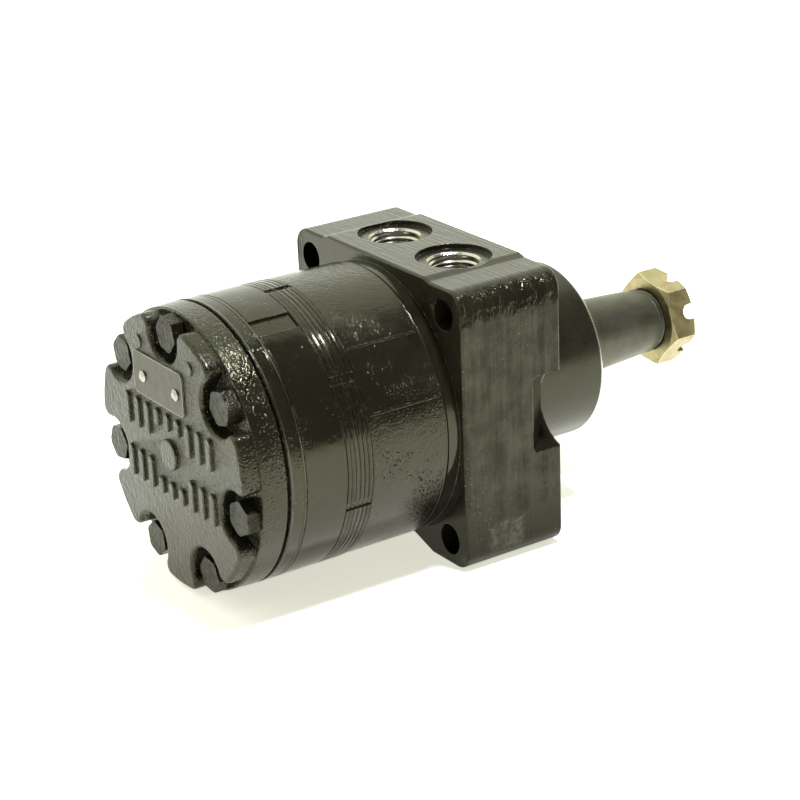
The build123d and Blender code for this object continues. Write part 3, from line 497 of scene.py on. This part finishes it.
def bolt_zones(s):
    """Scuffed heads: duller in patches, with a lightly dented skin."""
    dents = s.noise(430, 3, 0.6, distort=0.4)
    rubbed = s.range(s.noise(260, 4, 0.65), 0.36, 0.64, 0.0, 0.5)
    return Coat(relief=[(dents, 0.14, 1.0)], matte=rubbed)


# ---------------------------------------------------------------- other finishes
def phosphated_steel(s):
    """Dark grey shaft steel with pale edges and faint turning marks."""
    cloud = s.range(s.noise(85, 5, 0.65), 0.3, 0.7)
    rub = s.noise(60, 4, 0.6, stretch=(0.25, 1, 1))
    turned = s.noise(2600, 2, 0.5, stretch=(1, 0.02, 0.02))
    tone = s.mix(cloud, (0.016, 0.015, 0.011), (0.044, 0.043, 0.033))
    tone = s.mix(s.times(s.edges(0.4, 0.85, 0.99), 0.7), tone, (0.42, 0.41, 0.35))
    normal = s.bump(turned, 0.006, 1.0, s.bevel(0.4))
    normal = s.bump(s.noise(1500, 3, 0.6), 0.010, 1.0, normal)
    s.set(Base_Color=tone, Metallic=0.15, Normal=normal, Specular_IOR_Level=0.8)
    s.set(Specular_Tint=PAINT_TINT, Roughness=s.range(rub, 0.3, 0.7, 0.28, 0.48))


def ground_steel(s):
    """Bright ground steel."""
    grind = s.noise(3000, 2, 0.5, stretch=(1, 0.05, 0.05))
    s.set(Base_Color=s.mix(s.noise(140, 3, 0.5), (0.36, 0.36, 0.34), (0.52, 0.51, 0.48)))
    s.set(Metallic=1.0, Roughness=s.range(s.noise(200, 3, 0.5), 0.3, 0.7, 0.18, 0.32))
    s.set(Normal=s.bump(grind, 0.006, 1.0, s.bevel(0.25)))


def thread_steel(s):
    """Cut thread in the bare ports."""
    s.set(Base_Color=s.mix(s.noise(700, 3, 0.5), (0.38, 0.37, 0.32), (0.68, 0.67, 0.60)))
    s.set(Metallic=1.0, Roughness=0.2)
    s.set(Normal=s.bump(s.noise(1500, 3, 0.6), 0.012, 1.0, s.bevel(0.12)))


def bright_steel(s):
    """Bright steel with a slightly uneven skin."""
    s.set(Base_Color=s.mix(s.noise(500, 3, 0.5), (0.26, 0.26, 0.24), (0.50, 0.49, 0.45)))
    s.set(Metallic=1.0, Roughness=0.24)
    s.set(Normal=s.bump(s.noise(1100, 3, 0.6), 0.05, 1.0, s.bevel(0.25)))


def yellow_zinc(s):
    """Yellow zinc of the slotted nut, clouded, and pale on the edges as a painted highlight."""
    cloud = s.range(s.noise(150, 4, 0.65, distort=0.5), 0.25, 0.75)
    tone = s.mix(cloud, (0.32, 0.27, 0.12), (0.42, 0.375, 0.205))
    # pale edges: painted highlight
    tone = s.mix(s.times(s.edges(0.7, 0.86, 0.99), 0.85), tone, (0.92, 0.88, 0.68))
    normal = s.bump(s.noise(1300, 3, 0.6), 0.02, 1.0, s.bevel(0.5))
    normal = s.bump(s.noise(300, 2, 0.5), 0.05, 1.0, normal)
    s.set(Base_Color=tone, Metallic=1.0, Normal=normal)
    s.set(Roughness=s.range(s.noise(300, 4, 0.6), 0.3, 0.7, 0.32, 0.50))


def plate_dark(s):
    """Dark nameplate with brush marks and a bright rim."""
    cloud = s.range(s.noise(240, 4, 0.6), 0.3, 0.7)
    brushed = s.noise(900, 2, 0.5, stretch=(1, 0.05, 1))
    tone = s.mix(cloud, (0.010, 0.010, 0.008), (0.036, 0.036, 0.029))
    s.set(Base_Color=s.mix(s.edges(0.6, 0.90, 0.995), tone, (0.60, 0.59, 0.50)), Metallic=0.08)
    s.set(Roughness=0.32, Specular_Tint=PAINT_TINT)
    s.set(Normal=s.bump(brushed, 0.008, 1.0, s.bevel(0.25)))


def black_rubber(s):
    """Seals."""
    s.set(Base_Color=(0.018, 0.018, 0.018), Roughness=0.55)
    s.set(Normal=s.bump(s.noise(1600, 3, 0.6), 0.02))


def make_materials():
    """Every finish, by the name of its material slot in the record where there is one."""
    finishes = {
        "painted_cast_iron": paint("painted_cast_iron", housing_zones, 0.50, 0.065, 0.11),
        "painted_cast_cover": paint("painted_cast_cover", cover_zones, 1.10, 0.12, 0.10, edge=0.6),
        "painted_steel": paint("painted_steel", steel_zones, 0.60, 0.08, 0.09),
        "painted_bolt_steel": paint("painted_bolt_steel", bolt_zones, 0.85, 0.28, 0.20,
                                    wear=0.8, shine=0.34),
    }
    for finish in (phosphated_steel, ground_steel, thread_steel, bright_steel, yellow_zinc,
                   plate_dark, black_rubber):
        s = Shading(finish.__name__)
        finish(s)
        finishes[finish.__name__] = s.material
    return finishes


def dress_frame(materials):
    """Each CAD node takes the finish of its material slot in the record; the end cover takes
    painted_cast_cover.
    """
    slot_of = {part["node"]: part["material_slot"] for part in frame["record"]["subparts"]}
    for name, node in frame["nodes"].items():
        finish = "painted_cast_cover" if name == "end_cover" else slot_of[name]
        node.data.materials.clear()
        node.data.materials.append(materials[finish])


# ---------------------------------------------------------------- port threads
def make_port_thread(name, port_x, port_y, material):
    """Helical ridge on the wall of a port, from the major to the minor diameter, faded at both ends."""
    half, crest = THREAD_PITCH * THREAD_HALF_ROOT, THREAD_PITCH * THREAD_HALF_CREST
    wall_r = PORT_BORE_R + THREAD_SINK
    profile = ((wall_r, half), (PORT_THREAD_R, crest), (PORT_THREAD_R, -crest), (wall_r, -half))
    steps = THREAD_TURNS * STEPS_PER_TURN
    fade_steps = THREAD_FADE_TURNS * STEPS_PER_TURN
    vertices, faces = [], []
    for i in range(steps + 1):
        angle = 2 * math.pi * i / STEPS_PER_TURN
        z = THREAD_TOP_Z - half - THREAD_PITCH * i / STEPS_PER_TURN
        fade = min(1.0, i / fade_steps, (steps - i) / fade_steps)
        for r, dz in profile:
            r = wall_r + (r - wall_r) * fade
            x, y = port_x + r * math.cos(angle), port_y + r * math.sin(angle)
            vertices.append((x * MM, y * MM, (z + dz) * MM))
    width = len(profile)
    for i in range(steps):
        for k in range(width - 1):
            a, b = i * width + k, (i + 1) * width + k
            faces.append((a, a + 1, b + 1, b))
    thread = mesh_object(name, vertices, faces)
    thread.data.materials.append(material)
    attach(thread, "motor_body")


make_camera()
make_floor()
make_world()
make_lamp()
bpy.context.scene.view_settings.view_transform = "Standard"
MATERIALS = make_materials()
dress_frame(MATERIALS)
for side, (port_x, port_y) in zip(("left", "right"), PORTS):
    make_port_thread("port_thread_" + side, port_x, port_y, MATERIALS["thread_steel"])
